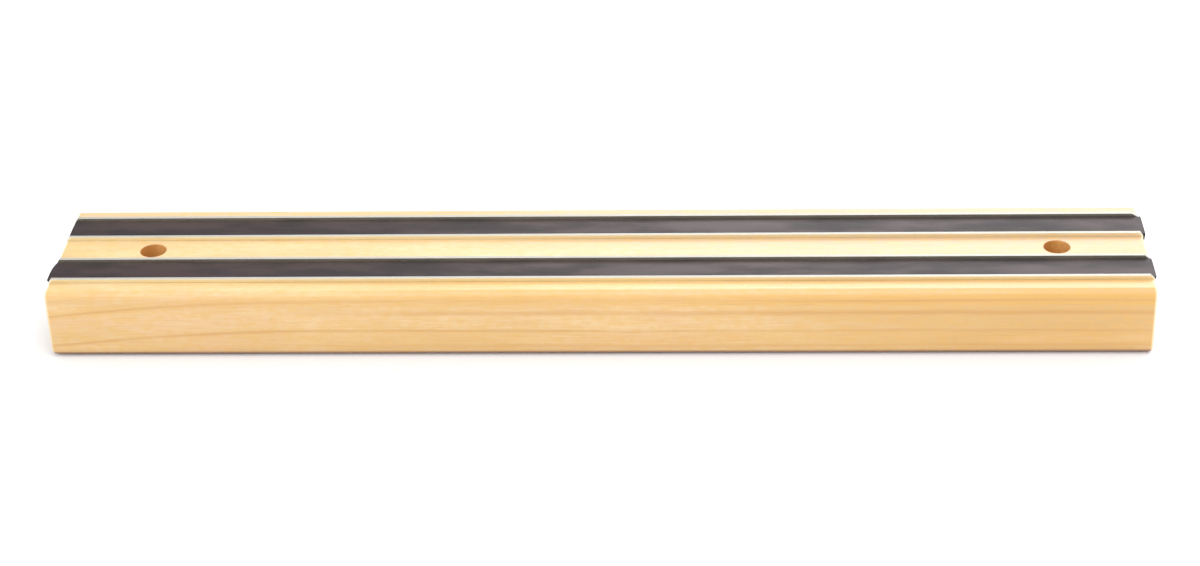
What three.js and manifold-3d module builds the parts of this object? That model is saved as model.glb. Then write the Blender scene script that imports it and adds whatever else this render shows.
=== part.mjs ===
// A magnetic knife bar: a wooden bar with two magnetic strips let into its face.
//
// Millimetres. X runs along the bar, +Y is up once the bar hangs on a wall, and +Z points
// away from the wall. The origin is the middle of the back face, which lies on the wall.
//
// Each strip is a sandwich in an open groove: two steel pole plates on edge, a row of
// ferrite magnets between them, and a black cover strip pressed in over the magnets. The
// plates' upper edges stand a little proud of the wood, and the knives lie on them.

import * as THREE from 'three';
import { mergeVertices } from 'three/addons/utils/BufferGeometryUtils.js';
import Module from 'manifold-3d';

// ---------------------------------------------------------------- driving dimensions

const BAR_LENGTH = 330;
const BAR_WIDTH = 53;
const BAR_THICKNESS = 22;
const FACE_EDGE_RADIUS = 2.4; // the two long edges of the face
const BACK_EDGE_RADIUS = 3; // the two long edges of the back
const END_EDGE_BREAK = 0.4; // sanded edge round each end

const STRIP_OFFSET = 13; // middle of the bar to the middle of a strip
const PLATE_THICKNESS = 1.2;
const PLATE_HEIGHT = 12;
const PLATE_PROUD = 1.2; // how far the plates stand out of the wood
const PLATE_CORNER_DROP = 1.2; // height of the cut on each exposed plate corner
const POLE_GAP = 11; // clear space between the two plates of a strip

const MAGNET_LENGTH = 40;
const MAGNET_HEIGHT = 8;
const MAGNETS_PER_STRIP = 8;
const MAGNET_PITCH = 41.2;

const COVER_THICKNESS = 3;
const COVER_RECESS = 0.8; // plates' upper edges down to the cover's face
const COVER_EDGE_BREAK = 0.2;
const GLUE = 0.1; // glue film round the plates, the magnets and the cover strip

const SCREW_SPACING = 275;
const SCREW_SHIFT = 0.8; // both holes are drilled this far to the right of even
const SCREW_HEAD_DIAMETER = 8; // counterbore
const SCREW_HEAD_DEPTH = 12;
const SCREW_SHANK_DIAMETER = 4.5; // through hole
const HOLE_SIDES = 32;

// The strips' ends aren't quite alike. Each cover strip has its own two ends along X, and
// each plate its own length of cut on its two corners.
const STRIPS = [
  {
    name: 'lower',
    y: -STRIP_OFFSET,
    cover: { start: -165.7, end: 165.6 },
    outerPlate: { leftCut: 0.8, rightCut: 1.3 },
    innerPlate: { leftCut: 0.9, rightCut: 1.5 },
  },
  {
    name: 'upper',
    y: STRIP_OFFSET,
    cover: { start: -164.7, end: 165.8 },
    outerPlate: { leftCut: 1.2, rightCut: 2.0 },
    innerPlate: { leftCut: 1.0, rightCut: 0.9 },
  },
];

// ---------------------------------------------------------------- derived dimensions

const PLATE_TOP = BAR_THICKNESS + PLATE_PROUD;
const PLATE_BOTTOM = PLATE_TOP - PLATE_HEIGHT;
const GROOVE_FLOOR = PLATE_BOTTOM - GLUE;
const GROOVE_WIDTH = POLE_GAP + 2 * (PLATE_THICKNESS + GLUE);
const COVER_TOP = PLATE_TOP - COVER_RECESS;
const BETWEEN_PLATES = POLE_GAP - 2 * GLUE; // width of the magnets and of the cover strip
const SCREW_PLACES = [SCREW_SHIFT - SCREW_SPACING / 2, SCREW_SHIFT + SCREW_SPACING / 2]; // X

// ---------------------------------------------------------------- materials

const wood = new THREE.MeshStandardMaterial({ color: '#e9c78d', roughness: 0.5, metalness: 0 });
const steel = new THREE.MeshStandardMaterial({ color: '#d9d9d6', roughness: 0.3, metalness: 1 });
const rubber = new THREE.MeshStandardMaterial({ color: '#4a4245', roughness: 0.55, metalness: 0 });
const ferrite = new THREE.MeshStandardMaterial({ color: '#35343a', roughness: 0.7, metalness: 0.2 });

// ---------------------------------------------------------------- geometry helpers

const X_AXIS = new THREE.Vector3(1, 0, 0);
const Y_AXIS = new THREE.Vector3(0, 1, 0);
const Z_AXIS = new THREE.Vector3(0, 0, 1);

// A sketch whose x and y are the part's Y and Z, extruded along X from start to end.
function extrudeAlongX(sketch, start, end, edgeBreak = 0) {
  const geometry = new THREE.ExtrudeGeometry(sketch, {
    depth: end - start - 2 * edgeBreak,
    curveSegments: 8,
    bevelEnabled: edgeBreak > 0,
    bevelThickness: edgeBreak,
    bevelSize: edgeBreak,
    bevelOffset: -edgeBreak,
    bevelSegments: 1,
  });
  geometry.translate(0, 0, start + edgeBreak);
  geometry.applyMatrix4(new THREE.Matrix4().makeBasis(Y_AXIS, Z_AXIS, X_AXIS));
  return geometry;
}

// A sketch whose x and y are the part's X and Z, extruded evenly to both sides of Y = 0.
function extrudeAcrossY(sketch, thickness) {
  const geometry = new THREE.ExtrudeGeometry(sketch, { depth: thickness, bevelEnabled: false });
  geometry.translate(0, 0, -thickness / 2);
  const minusY = Y_AXIS.clone().negate();
  geometry.applyMatrix4(new THREE.Matrix4().makeBasis(X_AXIS, Z_AXIS, minusY));
  return geometry;
}

function uprightCylinder(diameter, x, bottom, top) {
  const radius = diameter / 2;
  const geometry = new THREE.CylinderGeometry(radius, radius, top - bottom, HOLE_SIDES);
  geometry.rotateX(Math.PI / 2);
  geometry.translate(x, 0, (bottom + top) / 2);
  return geometry;
}

const wasm = await Module();
wasm.setup();

function toSolid(geometry) {
  const bare = geometry.clone();
  bare.deleteAttribute('normal');
  bare.deleteAttribute('uv');
  const merged = mergeVertices(bare);
  const vertProperties = new Float32Array(merged.attributes.position.array);
  const triVerts = new Uint32Array(merged.index.array);
  return new wasm.Manifold(new wasm.Mesh({ numProp: 3, vertProperties, triVerts }));
}

function toGeometry(solid) {
  const mesh = solid.getMesh();
  const geometry = new THREE.BufferGeometry();
  geometry.setAttribute('position', new THREE.BufferAttribute(mesh.vertProperties, 3));
  geometry.setIndex(new THREE.BufferAttribute(mesh.triVerts, 1));
  geometry.computeVertexNormals();
  return geometry;
}

function namedMesh(name, geometry, material) {
  const mesh = new THREE.Mesh(geometry, material);
  mesh.name = name;
  return mesh;
}

// ---------------------------------------------------------------- the wooden bar

// Cross-section: rounded long edges and two square grooves, drawn anticlockwise from the
// left end of the back face.
function barSketch() {
  const half = BAR_WIDTH / 2;
  const back = BACK_EDGE_RADIUS;
  const face = FACE_EDGE_RADIUS;
  const quarter = Math.PI / 2;
  const sketch = new THREE.Shape();
  sketch.moveTo(-half + back, 0);
  sketch.absarc(half - back, back, back, -quarter, 0);
  sketch.absarc(half - face, BAR_THICKNESS - face, face, 0, quarter);
  for (const middle of [STRIP_OFFSET, -STRIP_OFFSET]) {
    sketch.lineTo(middle + GROOVE_WIDTH / 2, BAR_THICKNESS);
    sketch.lineTo(middle + GROOVE_WIDTH / 2, GROOVE_FLOOR);
    sketch.lineTo(middle - GROOVE_WIDTH / 2, GROOVE_FLOOR);
    sketch.lineTo(middle - GROOVE_WIDTH / 2, BAR_THICKNESS);
  }
  sketch.absarc(-half + face, BAR_THICKNESS - face, face, quarter, 2 * quarter);
  sketch.absarc(-half + back, back, back, 2 * quarter, 3 * quarter);
  return sketch;
}

// Stepped screw holes: a counterbore for the head and a clearance hole for the shank.
function screwHoleCutters() {
  const overrun = 1;
  const seat = BAR_THICKNESS - SCREW_HEAD_DEPTH;
  return SCREW_PLACES.flatMap((x) => [
    uprightCylinder(SCREW_SHANK_DIAMETER, x, -overrun, seat + overrun),
    uprightCylinder(SCREW_HEAD_DIAMETER, x, seat, BAR_THICKNESS + overrun),
  ]);
}

function woodBar() {
  const end = BAR_LENGTH / 2;
  let solid = toSolid(extrudeAlongX(barSketch(), -end, end, END_EDGE_BREAK));
  for (const cutter of screwHoleCutters()) solid = solid.subtract(toSolid(cutter));
  return namedMesh('wood_bar', toGeometry(solid), wood);
}

// ---------------------------------------------------------------- one magnetic strip

// A flat steel strip on edge, with its two exposed corners cut off.
function polePlate(name, { leftCut, rightCut }) {
  const end = BAR_LENGTH / 2;
  const sketch = new THREE.Shape();
  sketch.moveTo(-end, PLATE_BOTTOM);
  sketch.lineTo(end, PLATE_BOTTOM);
  sketch.lineTo(end, PLATE_TOP - PLATE_CORNER_DROP);
  sketch.lineTo(end - rightCut, PLATE_TOP);
  sketch.lineTo(-end + leftCut, PLATE_TOP);
  sketch.lineTo(-end, PLATE_TOP - PLATE_CORNER_DROP);
  return namedMesh(name, extrudeAcrossY(sketch, PLATE_THICKNESS), steel);
}

// The black strip pressed in over the magnets, with the edges of its face broken.
function coverStrip(name, { start, end }) {
  const half = BETWEEN_PLATES / 2;
  const sketch = new THREE.Shape();
  sketch.moveTo(-half, COVER_TOP - COVER_THICKNESS);
  sketch.lineTo(half, COVER_TOP - COVER_THICKNESS);
  sketch.lineTo(half, COVER_TOP - COVER_EDGE_BREAK);
  sketch.lineTo(half - COVER_EDGE_BREAK, COVER_TOP);
  sketch.lineTo(-half + COVER_EDGE_BREAK, COVER_TOP);
  sketch.lineTo(-half, COVER_TOP - COVER_EDGE_BREAK);
  return namedMesh(name, extrudeAlongX(sketch, start, end), rubber);
}

// Block magnets in a row, magnetised across the bar so that each plate is one pole.
function magnetRow(stripName) {
  const block = new THREE.BoxGeometry(MAGNET_LENGTH, BETWEEN_PLATES, MAGNET_HEIGHT);
  const magnets = [];
  for (let i = 0; i < MAGNETS_PER_STRIP; i += 1) {
    const magnet = namedMesh(`magnet_${stripName}_${i + 1}`, block, ferrite);
    const place = i - (MAGNETS_PER_STRIP - 1) / 2;
    magnet.position.set(place * MAGNET_PITCH, 0, PLATE_BOTTOM + MAGNET_HEIGHT / 2);
    magnets.push(magnet);
  }
  return magnets;
}

function magneticStrip({ name, y, cover, outerPlate, innerPlate }) {
  const outward = Math.sign(y);
  const plateOffset = outward * (POLE_GAP + PLATE_THICKNESS) / 2;
  const outer = polePlate(`pole_plate_${name}_outer`, outerPlate);
  const inner = polePlate(`pole_plate_${name}_inner`, innerPlate);
  outer.position.y = plateOffset;
  inner.position.y = -plateOffset;
  const strip = new THREE.Group();
  strip.add(outer, inner, coverStrip(`cover_strip_${name}`, cover), ...magnetRow(name));
  strip.position.y = y;
  return strip;
}

// ---------------------------------------------------------------- the whole object

const group = new THREE.Group();
group.add(woodBar());
for (const strip of STRIPS) group.add(magneticStrip(strip));

export default group;
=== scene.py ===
"""The magnetic knife bar's looks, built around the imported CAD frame.

Lengths are in metres, except in the materials, where they are in millimetres.
"""

import math

import bpy
from mathutils import Matrix, Vector, noise


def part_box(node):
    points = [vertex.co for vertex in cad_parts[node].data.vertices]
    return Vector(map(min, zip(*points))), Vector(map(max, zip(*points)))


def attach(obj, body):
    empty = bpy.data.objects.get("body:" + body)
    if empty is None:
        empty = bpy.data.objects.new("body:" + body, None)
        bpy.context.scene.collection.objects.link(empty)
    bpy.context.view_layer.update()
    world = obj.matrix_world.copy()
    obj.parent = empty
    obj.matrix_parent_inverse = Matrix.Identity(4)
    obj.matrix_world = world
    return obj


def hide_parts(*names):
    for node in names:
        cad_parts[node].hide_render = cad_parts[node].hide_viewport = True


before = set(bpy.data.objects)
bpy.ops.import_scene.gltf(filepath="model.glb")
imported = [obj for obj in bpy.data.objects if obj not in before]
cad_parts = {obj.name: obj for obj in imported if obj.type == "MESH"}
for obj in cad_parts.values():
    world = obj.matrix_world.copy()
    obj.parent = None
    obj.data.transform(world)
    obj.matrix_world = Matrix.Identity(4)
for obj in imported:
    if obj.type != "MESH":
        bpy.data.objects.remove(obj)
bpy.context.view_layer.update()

MM = 0.001
STRIPS = ("lower", "upper")
MAGNETS_PER_STRIP = 8

# ------------------------------------------------------------------ camera

CAMERA_PLACE = Vector((40.4, -705.9, 418.6)) * MM
CAMERA_YAW = math.radians(-3.271)
CAMERA_PITCH = math.radians(30.026)
CAMERA_ROLL = math.radians(-1.848)
CAMERA_LENS_MM = 79.98
SENSOR_WIDTH_MM = 36


def add_camera():
    data = bpy.data.cameras.new("camera")
    data.sensor_width = SENSOR_WIDTH_MM
    data.lens = CAMERA_LENS_MM
    data.clip_start = 0.01
    camera = bpy.data.objects.new("camera", data)
    bpy.context.scene.collection.objects.link(camera)
    turn = Matrix.Rotation(-CAMERA_YAW, 4, "Z")
    tilt = Matrix.Rotation(math.pi / 2 - CAMERA_PITCH, 4, "X")
    roll = Matrix.Rotation(CAMERA_ROLL, 4, "Z")
    camera.matrix_world = Matrix.Translation(CAMERA_PLACE) @ turn @ tilt @ roll
    bpy.context.scene.camera = camera


# ------------------------------------------------------------------ light and floor


SKY_STRENGTH = 1.0
# Each softbox's place, the point it faces, its two sizes in metres and its power in watts.
SOFTBOXES = {
    "back_right_softbox": ((0.68, 1.25, 0.95), (0.1, 0, 0), (1.96, 1.2), 23),
    "overhead_softbox": ((0.2, -0.9, 1.7), (0, 0, 0), (2.6, 2.0), 25),
}
FLOOR_REACH = 12  # from the origin to each side of the floor, in metres
FLOOR_COLOUR = (0.81, 0.82, 0.845, 1)


def area_light(name, place, aim, size, power):
    data = bpy.data.lights.new(name, "AREA")
    data.shape = "RECTANGLE"
    data.size, data.size_y = size
    data.energy = power
    light = bpy.data.objects.new(name, data)
    bpy.context.scene.collection.objects.link(light)
    direction = Vector(aim) - Vector(place)
    light.rotation_euler = direction.to_track_quat("-Z", "Y").to_euler()
    light.location = place


def add_lights():
    world = bpy.data.worlds.new("studio")
    world.use_nodes = True
    sky = world.node_tree.nodes["Background"]
    sky.inputs["Color"].default_value = (1, 1, 1, 1)
    sky.inputs["Strength"].default_value = SKY_STRENGTH
    bpy.context.scene.world = world
    for name, settings in SOFTBOXES.items():
        area_light(name, *settings)


def add_floor():
    reach = FLOOR_REACH
    mesh = bpy.data.meshes.new("floor")
    corners = [(-reach, -reach, 0), (reach, -reach, 0), (reach, reach, 0), (-reach, reach, 0)]
    mesh.from_pydata(corners, [], [(0, 1, 2, 3)])
    floor = bpy.data.objects.new("floor", mesh)
    bpy.context.scene.collection.objects.link(floor)
    material = bpy.data.materials.new("floor")
    material.use_nodes = True
    shader = material.node_tree.nodes["Principled BSDF"]
    shader.inputs["Base Color"].default_value = FLOOR_COLOUR
    shader.inputs["Roughness"].default_value = 0.9
    shader.inputs["Specular IOR Level"].default_value = 0.1
    mesh.materials.append(material)


# ------------------------------------------------------------------ shader graph helper


class Graph:
    """A material's nodes. Each method adds one node and returns its output."""

    def __init__(self, name):
        self.material = bpy.data.materials.new(name)
        self.material.use_nodes = True
        self.tree = self.material.node_tree
        self.shader = self.tree.nodes["Principled BSDF"]

    def node(self, kind, **settings):
        node = self.tree.nodes.new("ShaderNode" + kind)
        for name, value in settings.items():
            setattr(node, name, value)
        return node

    def feed(self, socket, value):
        if isinstance(value, bpy.types.NodeSocket):
            self.tree.links.new(value, socket)
        else:
            socket.default_value = value

    def set(self, **values):
        """Sets or links the Principled shader's sockets, with _ for a space in a socket's name."""
        for name, value in values.items():
            self.feed(self.shader.inputs[name.replace("_", " ")], value)

    def place(self):
        """The point in millimetres, in the row frame."""
        point = self.node("TexCoord").outputs["Object"]
        return self.scaled(point, (1000, 1000, 1000))

    def facing(self):
        """The surface's direction in the row frame."""
        return self.node("TexCoord").outputs["Normal"]

    def scaled(self, vector, scale):
        node = self.node("VectorMath", operation="MULTIPLY")
        self.feed(node.inputs[0], vector)
        node.inputs[1].default_value = scale
        return node.outputs[0]

    def split(self, vector):
        node = self.node("SeparateXYZ")
        self.feed(node.inputs[0], vector)
        return node.outputs[0], node.outputs[1], node.outputs[2]

    def math(self, operation, *values, clamp=False):
        node = self.node("Math", operation=operation, use_clamp=clamp)
        for socket, value in zip(node.inputs, values):
            self.feed(socket, value)
        return node.outputs[0]

    def ramp(self, value, low, high, to_low=0.0, to_high=1.0):
        """value's range low to high, eased onto to_low to to_high."""
        node = self.node("MapRange", interpolation_type="SMOOTHSTEP")
        for socket, number in zip(node.inputs, (value, low, high, to_low, to_high)):
            self.feed(socket, number)
        return node.outputs[0]

    def linear(self, value, low, high):
        """value's range low to high, spread evenly onto 0 to 1."""
        node = self.node("MapRange")
        for socket, number in zip(node.inputs, (value, low, high)):
            self.feed(socket, number)
        return node.outputs[0]

    def noise(self, vector, scale, detail=2.0, roughness=0.5):
        """Noise from 0 to 1; scale is per millimetre along each axis."""
        node = self.node("TexNoise")
        self.feed(node.inputs["Vector"], self.scaled(vector, scale))
        node.inputs["Scale"].default_value = 1
        node.inputs["Detail"].default_value = detail
        node.inputs["Roughness"].default_value = roughness
        return node.outputs["Fac"]

    def cells(self, vector, scale):
        """Voronoi cells: the distance to the nearest centre, and a colour for each cell."""
        node = self.node("TexVoronoi")
        self.feed(node.inputs["Vector"], self.scaled(vector, scale))
        node.inputs["Scale"].default_value = 1
        return node.outputs["Distance"], node.outputs["Color"]

    def mix(self, share, a, b):
        """A number share of the way from a to b."""
        node = self.node("Mix", data_type="FLOAT")
        self.feed(node.inputs[0], share)
        self.feed(node.inputs[2], a)
        self.feed(node.inputs[3], b)
        return node.outputs[0]

    def blend(self, share, a, b):
        """A colour share of the way from a to b."""
        node = self.node("Mix", data_type="RGBA")
        self.feed(node.inputs[0], share)
        self.feed(node.inputs[6], a)
        self.feed(node.inputs[7], b)
        return node.outputs[2]

    def bump(self, height, depth, under=None):
        """Surface relief; depth in metres is what a height of 1 stands for."""
        node = self.node("Bump")
        node.inputs["Distance"].default_value = depth
        self.feed(node.inputs["Height"], height)
        if under is not None:
            self.feed(node.inputs["Normal"], under)
        return node.outputs[0]


# ------------------------------------------------------------------ materials

PITH_Y = 18.0  # where the tree's middle ran, in mm in the row frame
PITH_Z = -74.0
BEND_START = -80.0  # left of here the rings dip towards the end
BEND = 0.00072  # the dip in mm is this times the square of the distance past there
RING_DRIFT = 0.9  # how far the rings wander slowly, and how far quickly, in mm
RING_RIPPLE = 0.7
RING_MARGIN = 5  # how far the ring pattern goes on past its first and last line, in mm
# Each growth ring's dark line: its distance from the pith and its reach to either side in mm,
# its strength at the bar's left end, middle and right end, and how warm the wood outside it is.
# Strengths of 0 mark only a change in warmth.
RINGS = (
    (75.8, 0.8, 0.6, 0.5, 0.6, 0.4),
    (80.4, 1.0, 0.7, 0.7, 0.6, 0.6),
    (85.0, 0.8, 0.6, 0.7, 0.7, 0.3),
    (89.6, 0.9, 0.2, 0.5, 0.6, 0.4),
    (94.1, 0.7, 0.8, 0.75, 0.75, 0.2),
    (99.5, 1.2, 0.0, 0.65, 0.9, 0.3),
    (101.8, 0.6, 0.0, 0.0, 0.0, 0.85),
    (103.2, 0.7, 0.9, 0.15, 0.8, 0.8),
    (105.0, 0.7, 0.0, 0.0, 0.0, 0.1),
    (107.8, 0.9, 0.2, 0.5, 0.7, 0.6),
)
LEFT_PART = (-95.0, -45.0)  # the left end's line strengths give way to the middle's, in mm along X
RIGHT_PART = (35.0, 75.0)
WOOD = (0.66, 0.445, 0.21, 1)
PALE_WOOD = (0.73, 0.53, 0.29, 1)
WARM_WOOD = (0.67, 0.38, 0.085, 1)
ROSY_WOOD = (0.69, 0.46, 0.255, 1)
DARKER_WOOD = (0.58, 0.36, 0.15, 1)
# painted shade: the darker colour of the upward faces, offsetting the lights' sheen towards the
# right and rear
FACE_WOOD_PAINTED_SHADE = (0.52, 0.325, 0.19, 1)
# painted highlight: the pale rim on the ends' rounded edges
END_EDGE_PAINTED_HIGHLIGHT = (0.86, 0.70, 0.44, 1)
# painted shade: the contact shadow along the back's rounded edges
BACK_EDGE_PAINTED_SHADE = (0.31, 0.14, 0.045, 1)
LINE_WOOD = (0.55, 0.295, 0.085, 1)
END_GRAIN = (0.52, 0.33, 0.15, 1)


def ring_radius(g, point):
    """The distance from the pith in mm, with a slow drift and a quicker ripple."""
    x, y, z = g.split(point)
    past = g.math("MAXIMUM", g.math("SUBTRACT", BEND_START, x), 0.0)
    bend = g.math("MULTIPLY", g.math("MULTIPLY", past, past), BEND)
    across = g.math("SUBTRACT", y, PITH_Y)
    up = g.math("ADD", g.math("SUBTRACT", z, PITH_Z), bend)
    squares = g.math("ADD", g.math("MULTIPLY", across, across), g.math("MULTIPLY", up, up))
    radius = g.math("SQRT", squares)
    drift = g.math("SUBTRACT", g.noise(point, (0.008, 0.02, 0.02), detail=1), 0.5)
    ripple = g.math("SUBTRACT", g.noise(point, (0.04, 0.1, 0.1), detail=2), 0.5)
    radius = g.math("MULTIPLY_ADD", drift, RING_DRIFT, radius)
    return g.math("MULTIPLY_ADD", ripple, RING_RIPPLE, radius)


def ring_ramp(g, radius):
    """Line strengths at the left end, middle and right end as a colour, and warmth as alpha."""
    start, stop = RINGS[0][0] - RING_MARGIN, RINGS[-1][0] + RING_MARGIN
    ramp = g.node("ValToRGB")
    ramp.color_ramp.interpolation = "EASE"
    stops = ramp.color_ramp.elements
    warmth = 0.5
    for middle, reach, *strengths, warmth_outside in RINGS:
        for at, colour in (
            (middle - reach, (0, 0, 0, warmth)),
            (middle, (*strengths, (warmth + warmth_outside) / 2)),
            (middle + reach, (0, 0, 0, warmth_outside)),
        ):
            stops.new((at - start) / (stop - start)).color = colour
        warmth = warmth_outside
    stops.remove(stops[0])
    stops.remove(stops[-1])
    g.feed(ramp.inputs[0], g.linear(radius, start, stop))
    return ramp.outputs["Color"], ramp.outputs["Alpha"]


def rings(g, point):
    """The strength of the rings' dark lines at a point, and the warmth of the wood there."""
    colour, warmth = ring_ramp(g, ring_radius(g, point))
    left, middle, right = g.split(colour)
    x = g.split(point)[0]
    line = g.mix(g.linear(x, *LEFT_PART), left, middle)
    line = g.mix(g.linear(x, *RIGHT_PART), line, right)
    fade = g.ramp(g.noise(point, (0.022, 0.25, 0.25), detail=2), 0.32, 0.62, 0.5, 1.0)
    return g.math("MULTIPLY", line, fade), warmth


def flecks(g, point):
    """Short dark dashes along the grain."""
    distance, cell = g.cells(point, (0.3, 2.2, 2.2))
    chance = g.ramp(g.split(cell)[0], 0.6, 0.9)
    return g.math("MULTIPLY", g.ramp(distance, 0.1, 0.42, 1.0, 0.0), chance)


def wood_tone(g, point, x):
    """The wood without marks: paler and rosier patches, and darker towards the right end."""
    patches = g.noise(point, (0.014, 0.09, 0.09), detail=3)
    colour = g.blend(g.ramp(patches, 0.35, 0.65), WOOD, PALE_WOOD)
    colour = g.blend(g.ramp(x, 0.0, 165.0, 0.0, 0.9), colour, DARKER_WOOD)
    rosy = g.noise(point, (0.02, 0.12, 0.12), detail=2)
    return g.blend(g.ramp(rosy, 0.52, 0.68, 0.0, 0.8), colour, ROSY_WOOD)


def face_painted_shade(g, x, y, upward):
    """How far the upward faces are darkened by painted shade, most towards the right and the rear,
    to offset the sheen that the lights add there.
    """
    shade = g.math("ADD", g.ramp(x, -110.0, 100.0, 0.0, 0.85), g.ramp(y, -24.0, 24.0, -0.55, 0.35))
    return g.math("MULTIPLY", g.ramp(upward, 0.9, 0.99), shade, clamp=True)


def grain_marks(g, point, colour, fibres, line):
    """The colour with fibres, mottling, flecks and the rings' dark lines drawn in."""
    colour = g.blend(g.ramp(fibres, 0.4, 0.75, 0.0, 0.5), colour, LINE_WOOD)
    mottle = g.noise(point, (0.35, 0.7, 0.7), detail=2)
    colour = g.blend(g.ramp(mottle, 0.35, 0.7, 0.0, 0.42), colour, WARM_WOOD)
    colour = g.blend(g.math("MULTIPLY", flecks(g, point), 0.35), colour, LINE_WOOD)
    return g.blend(g.math("MULTIPLY", line, 0.9), colour, LINE_WOOD)


def edge_painted_light(g, colour, endwise, upward):
    """The colour with a pale painted highlight on the ends' rounded edges and a brown painted shade
    on the back's rounded edges, where they meet the table.
    """
    # painted highlight: pale on the ends' rounded edges
    colour = g.blend(g.ramp(endwise, 0.05, 0.5, 0.0, 0.75), colour, END_EDGE_PAINTED_HIGHLIGHT)
    # painted shade: brown on the back's rounded edges, which face down towards the table
    above = g.ramp(upward, -0.6, -0.3, 0.95, 0.0)
    below = g.ramp(upward, -0.99, -0.93)
    return g.blend(g.math("MULTIPLY", above, below), colour, BACK_EDGE_PAINTED_SHADE)


def end_grain(g, point, line):
    pores = g.noise(point, (3.0, 6.0, 6.0), detail=3, roughness=0.7)
    colour = g.blend(g.ramp(pores, 0.35, 0.7), END_GRAIN, WOOD)
    return g.blend(g.math("MULTIPLY", line, 0.8), colour, LINE_WOOD)


def wood():
    g = Graph("wood")
    point = g.place()
    x, y, _ = g.split(point)
    to_right, _, upward = g.split(g.facing())
    endwise = g.math("ABSOLUTE", to_right)
    line, warmth = rings(g, point)
    warmth = g.math("MULTIPLY", warmth, g.ramp(x, -150.0, 150.0, 0.45, 1.0))
    fibres = g.noise(point, (0.06, 3.4, 3.4), detail=4, roughness=0.65)
    colour = g.blend(warmth, wood_tone(g, point, x), WARM_WOOD)
    # painted shade on the upward faces, strongest towards the right and the rear
    colour = g.blend(face_painted_shade(g, x, y, upward), colour, FACE_WOOD_PAINTED_SHADE)
    colour = grain_marks(g, point, colour, fibres, line)
    # painted highlight on the ends' rounded edges and painted shade on the back's rounded edges
    colour = edge_painted_light(g, colour, endwise, upward)
    end = g.ramp(endwise, 0.85, 0.98)
    colour = g.blend(g.math("MULTIPLY", end, 0.75), colour, end_grain(g, point, line))
    roughness = g.ramp(fibres, 0.2, 0.8, 0.36, 0.5)
    g.set(Base_Color=colour, Roughness=g.math("MULTIPLY_ADD", end, 0.2, roughness))
    g.set(Coat_Weight=g.math("MULTIPLY_ADD", end, -0.4, 0.5), Coat_Roughness=0.25)
    relief = g.bump(fibres, 0.00003)
    g.set(Normal=g.bump(line, 0.00002, under=relief))
    return g.material


BORE_LIGHT = (0.86, 0.5, 0.17, 1)
BORE_DULL = (0.76, 0.42, 0.13, 1)
# painted shade on the left side of each screw hole's wall
BORE_LEFT_PAINTED_SHADE = (0.5, 0.22, 0.045, 1)
BORE_BLOTCH = (0.5, 0.24, 0.065, 1)


def bore_wood():
    """A screw hole's wall: fine rings, blotches, and brown painted shade on its left side, which
    faces right.

    What faces upward, such as the rounded edge of the mouth, is like the bar's face, with the same
    painted shade.
    """
    g = Graph("bore_wood")
    point = g.place()
    turns = g.noise(point, (0.3, 0.3, 7.0), detail=2)
    blotches = g.noise(point, (0.8, 0.8, 0.8), detail=3)
    colour = g.blend(g.ramp(turns, 0.3, 0.7), BORE_LIGHT, BORE_DULL)
    to_right, _, upward = g.split(g.facing())
    # painted shade: brown on the wall's left side, which faces right
    colour = g.blend(g.ramp(to_right, -0.7, 0.6, 0.0, 0.95), colour, BORE_LEFT_PAINTED_SHADE)
    colour = g.blend(g.ramp(blotches, 0.35, 0.75, 0.0, 0.6), colour, BORE_BLOTCH)
    colour = g.blend(g.ramp(upward, 0.1, 0.5), colour, FACE_WOOD_PAINTED_SHADE)
    g.set(Base_Color=colour, Roughness=g.ramp(blotches, 0.2, 0.8, 0.55, 0.8))
    g.set(Normal=g.bump(turns, 0.00005))
    return g.material


STEEL_EDGES = ((0.44, 0.43, 0.395, 1), (0.5, 0.49, 0.45, 1))
STEEL_SIDES = ((0.835, 0.835, 0.675, 1), (0.895, 0.895, 0.745, 1))


def steel():
    """Steel strip: bright yellowish sides, and greyer, rougher edges."""
    g = Graph("pole_steel")
    point = g.place()
    side = g.ramp(g.math("ABSOLUTE", g.split(g.facing())[1]), 0.6, 0.9)
    lines = g.noise(point, (0.05, 12.0, 12.0), detail=3, roughness=0.65)
    patches = g.noise(point, (0.04, 0.5, 0.5), detail=2)
    edge_colour = g.blend(g.ramp(lines, 0.3, 0.7), *STEEL_EDGES)
    side_colour = g.blend(g.ramp(lines, 0.3, 0.7), *STEEL_SIDES)
    g.set(Base_Color=g.blend(side, edge_colour, side_colour), Metallic=1.0)
    roughness = g.math("MULTIPLY_ADD", patches, 0.08, g.ramp(lines, 0.25, 0.75, 0.52, 0.62))
    g.set(Roughness=g.math("MULTIPLY_ADD", side, -0.3, roughness))
    g.set(Normal=g.bump(lines, 0.00001))
    return g.material


RUBBER_DARK = (0.01, 0.004, 0.005, 1)
RUBBER_SMUDGE = (0.03, 0.013, 0.014, 1)
RUBBER_STREAK = (0.046, 0.034, 0.037, 1)
RUBBER_SHEEN = (1.0, 0.93, 0.955, 1)


def cover_rubber():
    g = Graph("cover_rubber")
    point = g.place()
    smudges = g.noise(point, (0.04, 0.12, 0.3), detail=3, roughness=0.55)
    streaks = g.noise(point, (0.03, 2.5, 2.5), detail=3, roughness=0.6)
    grain = g.noise(point, (4.0, 6.0, 6.0), detail=2)
    colour = g.blend(g.ramp(smudges, 0.38, 0.62), RUBBER_DARK, RUBBER_SMUDGE)
    colour = g.blend(g.ramp(streaks, 0.5, 0.8, 0.0, 0.5), colour, RUBBER_STREAK)
    roughness = g.math("MULTIPLY_ADD", streaks, 0.1, g.ramp(smudges, 0.3, 0.7, 0.4, 0.27))
    g.set(Base_Color=colour, Roughness=roughness)
    g.set(Specular_IOR_Level=0.21, Specular_Tint=RUBBER_SHEEN)
    g.set(Normal=g.bump(grain, 0.00001, under=g.bump(streaks, 0.00002)))
    return g.material


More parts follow.
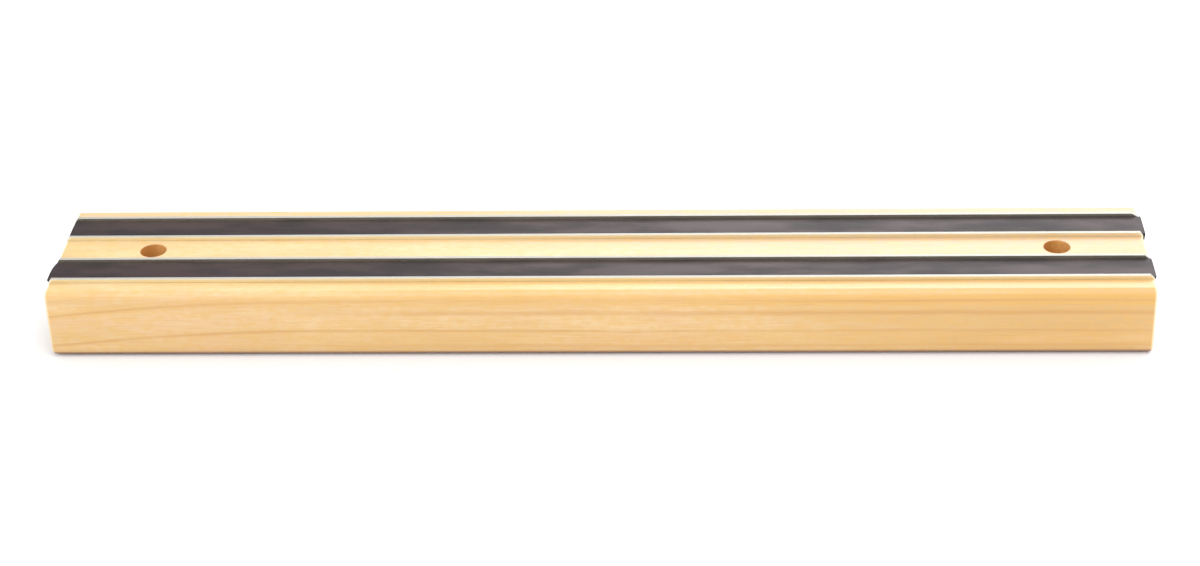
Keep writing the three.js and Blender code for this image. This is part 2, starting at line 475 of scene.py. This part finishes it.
FERRITE_DARK = (0.025, 0.025, 0.03, 1)
FERRITE_GREY = (0.06, 0.058, 0.066, 1)


def ferrite():
    g = Graph("ferrite")
    point = g.place()
    specks = g.noise(point, (3.0, 3.0, 3.0), detail=4, roughness=0.7)
    grinding = g.noise(point, (0.4, 8.0, 0.4), detail=2)
    colour = g.blend(g.ramp(specks, 0.3, 0.7), FERRITE_DARK, FERRITE_GREY)
    g.set(Base_Color=colour, Roughness=g.ramp(grinding, 0.3, 0.7, 0.45, 0.7))
    g.set(Normal=g.bump(specks, 0.00006, under=g.bump(grinding, 0.00002)))
    return g.material


# ------------------------------------------------------------------ mesh helpers


def mesh_object(name, points, faces, materials):
    mesh = bpy.data.meshes.new(name)
    mesh.from_pydata(points, [], faces)
    for material in materials:
        mesh.materials.append(material)
    piece = bpy.data.objects.new(name, mesh)
    bpy.context.scene.collection.objects.link(piece)
    return piece


def add_to_part(piece, slot, *nodes):
    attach(piece, "root")
    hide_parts(*nodes)


def smooth(piece, sharp_angle=40):
    """Smooth shading with hard edges kept, and flat faces kept flat beside the rounded ones."""
    piece.data.shade_smooth()
    piece.data.set_sharp_from_angle(angle=math.radians(sharp_angle))
    normals = piece.modifiers.new("flat_faces", "WEIGHTED_NORMAL")
    normals.keep_sharp = True


def apply_modifiers(piece):
    bpy.context.view_layer.update()
    shaped = piece.evaluated_get(bpy.context.evaluated_depsgraph_get())
    old = piece.data
    piece.data = bpy.data.meshes.new_from_object(shaped)
    piece.data.name = old.name
    piece.modifiers.clear()
    bpy.data.meshes.remove(old)


def arc(centre, radius, start, end, steps):
    """Points from start to end degrees, both included."""
    points = []
    for i in range(steps + 1):
        angle = math.radians(start + (end - start) * i / steps)
        y = centre[0] + radius * math.cos(angle)
        z = centre[1] + radius * math.sin(angle)
        points.append((y, z))
    return points


def inset(outline, by):
    """An anticlockwise outline moved inwards by that much."""
    moved = []
    for i, point in enumerate(outline):
        here = Vector(point)
        before = (here - Vector(outline[i - 1])).normalized()
        after = (Vector(outline[(i + 1) % len(outline)]) - here).normalized()
        left_before = Vector((-before.y, before.x))
        left_after = Vector((-after.y, after.x))
        corner = (left_before + left_after) / (1 + left_before.dot(left_after))
        moved.append(here + corner * by)
    return moved


ROUND_STEPS = 4  # steps in the rounding of each end
HOLE_SIDES = 96
BEVEL_SEGMENTS = 3


def lengthwise(name, outline, start, end, ease, spans, materials, extra=()):
    """A (y, z) outline drawn out along X, with its two ends rounded off by ease.

    outline(by) gives the cross-section moved inwards by that much. extra holds how far from
    each end further cross-sections are, nearest first and all more than ease.
    """
    stations = []
    for i in range(ROUND_STEPS + 1):
        angle = math.pi / 2 * (1 - i / ROUND_STEPS)
        stations.append((start + ease - ease * math.sin(angle), ease * (1 - math.cos(angle))))
    body = end - start - 2 * ease
    stations += [(start + distance, 0) for distance in extra]
    stations += [(start + ease + body * i / spans, 0) for i in range(1, spans)]
    stations += [(end - distance, 0) for distance in reversed(extra)]
    for i in range(ROUND_STEPS + 1):
        angle = math.pi / 2 * i / ROUND_STEPS
        stations.append((end - ease + ease * math.sin(angle), ease * (1 - math.cos(angle))))
    points = []
    for x, by in stations:
        points += [(x, y, z) for y, z in outline(by)]
    count = len(outline(0))
    faces = [tuple(reversed(range(count)))]
    for ring in range(len(stations) - 1):
        base = ring * count
        for i in range(count):
            j = (i + 1) % count
            faces.append((base + i, base + j, base + count + j, base + count + i))
    last = (len(stations) - 1) * count
    faces.append(tuple(range(last, last + count)))
    return mesh_object(name, points, faces, materials)


def turned_cutter(name, x, profile, material):
    """A (radius, z) profile from the bottom up, turned round the upright axis at x."""
    sides = HOLE_SIDES
    points = []
    for radius, z in profile:
        for i in range(sides):
            angle = 2 * math.pi * i / sides
            points.append((x + radius * math.cos(angle), radius * math.sin(angle), z))
    faces = [tuple(reversed(range(sides)))]
    for ring in range(len(profile) - 1):
        for i in range(sides):
            j = (i + 1) % sides
            a, b = ring * sides + i, ring * sides + j
            faces.append((a, b, b + sides, a + sides))
    top = (len(profile) - 1) * sides
    faces.append(tuple(range(top, top + sides)))
    return mesh_object(name, points, faces, [material])


# ------------------------------------------------------------------ the wooden bar

FACE_EDGE_RADIUS = 2.4 * MM
BACK_EDGE_RADIUS = 3 * MM
FACE_EDGE_STEPS = 12
BACK_EDGE_STEPS = 10
EASE_STEPS = 4  # steps in the rounding of a groove's or a hole's mouth
GROOVE_MOUTH_EASE = 0.12 * MM
GROOVE_CLEARANCE = 0.02 * MM
END_EASE = 0.8 * MM
BACK_END_RADII = (3 * MM, 1.6 * MM)  # rounding of the back's left and right end edges
# How far from each end the cross-sections are that carry that rounding, beyond END_EASE.
BACK_END_SECTIONS = (1.1 * MM, 1.6 * MM, 2.2 * MM, 3 * MM)
BAR_SPANS = 24  # lengthwise pieces of the bar between its ends

SCREW_SPACING = 275 * MM
SCREW_SHIFT = 0.8 * MM  # both holes are this far to the right of even
SCREW_HEAD_RADIUS = 4 * MM
SCREW_HEAD_DEPTH = 12 * MM
SCREW_SHANK_RADIUS = 2.25 * MM
HOLE_MOUTH_EASE = 0.15 * MM
HOLE_MOUTH_END = 100  # degrees, where the rounding of the mouth stops, just short of level


def groove_edges(strip):
    """The low and high Y and the floor of the groove that holds a strip's plates."""
    low_a, high_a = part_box(f"pole_plate_{strip}_outer")
    low_b, high_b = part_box(f"pole_plate_{strip}_inner")
    low = min(low_a.y, low_b.y) - GROOVE_CLEARANCE
    high = max(high_a.y, high_b.y) + GROOVE_CLEARANCE
    return low, high, low_a.z - GROOVE_CLEARANCE


def bar_outline(low, high, by):
    """The bar's cross-section, its outer faces moved inwards by that much.

    It runs anticlockwise from the low end of the back face.
    """
    back, face, ease = BACK_EDGE_RADIUS, FACE_EDGE_RADIUS, GROOVE_MOUTH_EASE
    top = high.z - by
    outline = arc((low.y + back, low.z + back), back - by, 180, 270, BACK_EDGE_STEPS)
    outline += arc((high.y - back, low.z + back), back - by, 270, 360, BACK_EDGE_STEPS)
    outline += arc((high.y - face, high.z - face), face - by, 0, 90, FACE_EDGE_STEPS)
    for strip in reversed(STRIPS):
        left, right, floor = groove_edges(strip)
        outline += arc((right + ease, top - ease), ease, 90, 180, EASE_STEPS)
        outline += [(right, floor), (left, floor)]
        outline += arc((left - ease, top - ease), ease, 0, 90, EASE_STEPS)
    outline += arc((low.y + face, high.z - face), face - by, 90, 180, FACE_EDGE_STEPS)
    return outline


def screw_hole_profile(low, high):
    """The stepped hole, from below the back face to above the magnetic face."""
    seat = high.z - SCREW_HEAD_DEPTH
    ease = HOLE_MOUTH_EASE
    profile = [(SCREW_SHANK_RADIUS, low.z - MM), (SCREW_SHANK_RADIUS, seat)]
    profile.append((SCREW_HEAD_RADIUS, seat))
    mouth = (SCREW_HEAD_RADIUS + ease, high.z - ease)
    profile += arc(mouth, ease, 180, HOLE_MOUTH_END, EASE_STEPS)
    profile.append((SCREW_HEAD_RADIUS + ease, high.z + MM))
    return profile


def round_back_ends(bar, low, high):
    """Rounds off the two end edges of the back by lifting the vertices near them."""
    for vertex in bar.data.vertices:
        left, right = vertex.co.x - low.x, high.x - vertex.co.x
        distance, radius = min(zip((left, right), BACK_END_RADII))
        inside = min(max(radius - distance, 0), radius)
        lowest = low.z + radius - math.sqrt(radius**2 - inside**2)
        vertex.co.z = max(vertex.co.z, lowest)


def wood_bar(wood_material, bore_material):
    low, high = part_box("wood_bar")

    def outline(by):
        return bar_outline(low, high, by)

    materials = [wood_material, bore_material]
    extra = BACK_END_SECTIONS
    bar = lengthwise("bar", outline, low.x, high.x, END_EASE, BAR_SPANS, materials, extra)
    round_back_ends(bar, low, high)
    profile = screw_hole_profile(low, high)
    for side in (-1, 1):
        place = side * SCREW_SPACING / 2 + SCREW_SHIFT
        cutter = turned_cutter("cutter", place, profile, bore_material)
        cut = bar.modifiers.new("screw_hole", "BOOLEAN")
        cut.operation = "DIFFERENCE"
        cut.solver = "EXACT"
        cut.material_mode = "TRANSFER"
        cut.object = cutter
        apply_modifiers(bar)
        bpy.data.objects.remove(cutter)
    smooth(bar)
    add_to_part(bar, "wood", "wood_bar")


# ------------------------------------------------------------------ the magnetic strips

PLATE_CORNER_DROP = 1.2 * MM
PLATE_EDGE_EASE = 0.06 * MM
# How long each plate's cut corners are along X, at its left and right ends.
CORNER_CUTS = {
    "lower_outer": (0.8 * MM, 1.3 * MM),
    "lower_inner": (0.9 * MM, 1.5 * MM),
    "upper_outer": (1.2 * MM, 2.0 * MM),
    "upper_inner": (1.0 * MM, 0.9 * MM),
}


def pole_plate(strip_side, material):
    """A steel strip on edge, its exposed corners cut and all its edges slightly rounded."""
    node = f"pole_plate_{strip_side}"
    low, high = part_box(node)
    left_cut, right_cut = CORNER_CUTS[strip_side]
    outline = [
        (low.x, low.z),
        (high.x, low.z),
        (high.x, high.z - PLATE_CORNER_DROP),
        (high.x - right_cut, high.z),
        (low.x + left_cut, high.z),
        (low.x, high.z - PLATE_CORNER_DROP),
    ]
    count = len(outline)
    points = [(x, low.y, z) for x, z in outline] + [(x, high.y, z) for x, z in outline]
    faces = [tuple(range(count)), tuple(reversed(range(count, 2 * count)))]
    for i in range(count):
        j = (i + 1) % count
        faces.append((j, i, count + i, count + j))
    plate = mesh_object("plate_" + strip_side, points, faces, [material])
    ease = plate.modifiers.new("ease", "BEVEL")
    ease.width = PLATE_EDGE_EASE
    ease.segments = BEVEL_SEGMENTS
    ease.limit_method = "ANGLE"
    ease.angle_limit = math.radians(20)
    apply_modifiers(plate)
    smooth(plate, sharp_angle=60)
    add_to_part(plate, "pole_steel", node)


COVER_EDGE_RADIUS = 0.12 * MM
COVER_EDGE_STEPS = 5
COVER_CLEARANCE = 0.02 * MM
COVER_SWELL = 0.2 * MM  # the room for the crown and the waves, half of it for each
COVER_CROWN_STEPS = 10
COVER_WAVE_LENGTH = 24 * MM
COVER_WAVE_WIDTH = 11 * MM
COVER_WAVE_SEED = 3.7
COVER_SPANS = 220
COVER_END_EASE = 0.1 * MM
COVER_END = 8 * MM  # the stretch at each end over which the cut's lean and wear die away
# How far the foot of each cut end lies inside its top, at its left and right ends.
COVER_END_LEAN = {"lower": (2.5 * MM, 0.9 * MM), "upper": (0.3 * MM, 0.2 * MM)}
# How far the corner with the higher Y of each cut end is worn back, at its left and right ends.
COVER_CORNER_WEAR = {"lower": (0.9 * MM, 0.1 * MM), "upper": (0.1 * MM, 0.1 * MM)}
COVER_WEAR_POWER = 4  # the higher it is, the closer to the corner the wear stays


def cover_sides(strip):
    """The low and high Y of the space between a strip's plates, less a hair's breadth."""
    faces = []
    for side in ("outer", "inner"):
        low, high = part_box(f"pole_plate_{strip}_{side}")
        faces += [low.y, high.y]
    faces.sort()
    return faces[1] + COVER_CLEARANCE, faces[2] - COVER_CLEARANCE


def cover_outline(left, right, bottom, top):
    """The cover strip's cross-section, with rounded upper edges and a slightly crowned face."""
    edge = COVER_EDGE_RADIUS
    outline = [(left, bottom), (right, bottom)]
    outline += arc((right - edge, top - edge), edge, 0, 90, COVER_EDGE_STEPS)
    for i in range(1, COVER_CROWN_STEPS):
        share = i / COVER_CROWN_STEPS
        y = right - edge + (left - right + 2 * edge) * share
        outline.append((y, top + COVER_SWELL * 0.5 * math.sin(math.pi * share)))
    outline += arc((left + edge, top - edge), edge, 90, 180, COVER_EDGE_STEPS)
    return outline


def cover_strip(strip, material):
    """The black strip over the magnets, with a face that is never quite flat."""
    node = f"cover_strip_{strip}"
    low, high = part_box(node)
    left, right = cover_sides(strip)
    top = high.z - COVER_SWELL
    section = cover_outline(left, right, low.z, top)

    def outline(by):
        return inset(section, by)

    ends = (low.x, high.x, COVER_END_EASE)
    cover = lengthwise("cover_" + strip, outline, *ends, COVER_SPANS, [material])
    shape_cover(cover, strip, (low, high), (left, right), top)
    smooth(cover)
    add_to_part(cover, "cover_strip", node)


def shape_cover(cover, strip, box, sides, top):
    """Leans and wears the strip's cut ends, and makes its face wavy."""
    low, high = box
    left, right = sides
    left_lean, right_lean = COVER_END_LEAN[strip]
    left_wear, right_wear = COVER_CORNER_WEAR[strip]
    for vertex in cover.data.vertices:
        depth = max(0.0, (top - vertex.co.z) / (top - low.z))
        corner = ((vertex.co.y - left) / (right - left)) ** COVER_WEAR_POWER
        near_left = max(0.0, 1 - (vertex.co.x - low.x) / COVER_END)
        near_right = max(0.0, 1 - (high.x - vertex.co.x) / COVER_END)
        vertex.co.x += near_left * (left_lean * depth + left_wear * corner)
        vertex.co.x -= near_right * (right_lean * depth + right_wear * corner)
        if vertex.co.z > top - COVER_EDGE_RADIUS / 2:
            x, y, _ = vertex.co
            place = Vector((x / COVER_WAVE_LENGTH, y / COVER_WAVE_WIDTH, COVER_WAVE_SEED))
            vertex.co.z += COVER_SWELL * 0.5 * noise.noise(place)


MAGNET_EDGE_EASE = 0.35 * MM
CHIP_DEPTH = 0.35 * MM
CHIP_REACH = 1.2 * MM  # about how far from an edge the chips reach along the block
CHIP_FREQUENCY = 900  # per metre
CHIP_THRESHOLD = 0.15  # noise below this leaves the edge whole


def magnet(strip, number, material):
    """A ferrite block: ground flat, with worn and chipped edges."""
    node = f"magnet_{strip}_{number}"
    low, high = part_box(node)
    corners = [(x, y, z) for x in (low.x, high.x) for y in (low.y, high.y) for z in (low.z, high.z)]
    faces = [(0, 1, 3, 2), (4, 6, 7, 5), (0, 4, 5, 1), (2, 3, 7, 6), (0, 2, 6, 4), (1, 5, 7, 3)]
    block = mesh_object(f"{node}_block", corners, faces, [material])
    ease = block.modifiers.new("ease", "BEVEL")
    ease.width = MAGNET_EDGE_EASE
    ease.segments = BEVEL_SEGMENTS
    cuts = block.modifiers.new("cuts", "SUBSURF")
    cuts.subdivision_type = "SIMPLE"
    cuts.levels = cuts.render_levels = 3
    apply_modifiers(block)
    middle = (low + high) / 2
    half = (high - low) / 2
    for vertex in block.data.vertices:
        inward = middle - vertex.co
        near = sorted(1 - abs(inward[i]) / half[i] for i in range(3))
        on_edge = max(0.0, 1 - near[1] * half.length / CHIP_REACH)
        chip = max(0.0, noise.noise(vertex.co * CHIP_FREQUENCY) - CHIP_THRESHOLD) * on_edge
        vertex.co += inward.normalized() * chip * CHIP_DEPTH
    smooth(block)
    add_to_part(block, "ferrite", node)


# ------------------------------------------------------------------ the scene

add_camera()
add_lights()
add_floor()
bpy.context.scene.view_settings.view_transform = "Standard"

wood_bar(wood(), bore_wood())
steel_material, rubber_material, ferrite_material = steel(), cover_rubber(), ferrite()
for strip_name in STRIPS:
    for side_name in ("outer", "inner"):
        pole_plate(f"{strip_name}_{side_name}", steel_material)
    cover_strip(strip_name, rubber_material)
    for magnet_number in range(1, MAGNETS_PER_STRIP + 1):
        magnet(strip_name, magnet_number, ferrite_material)
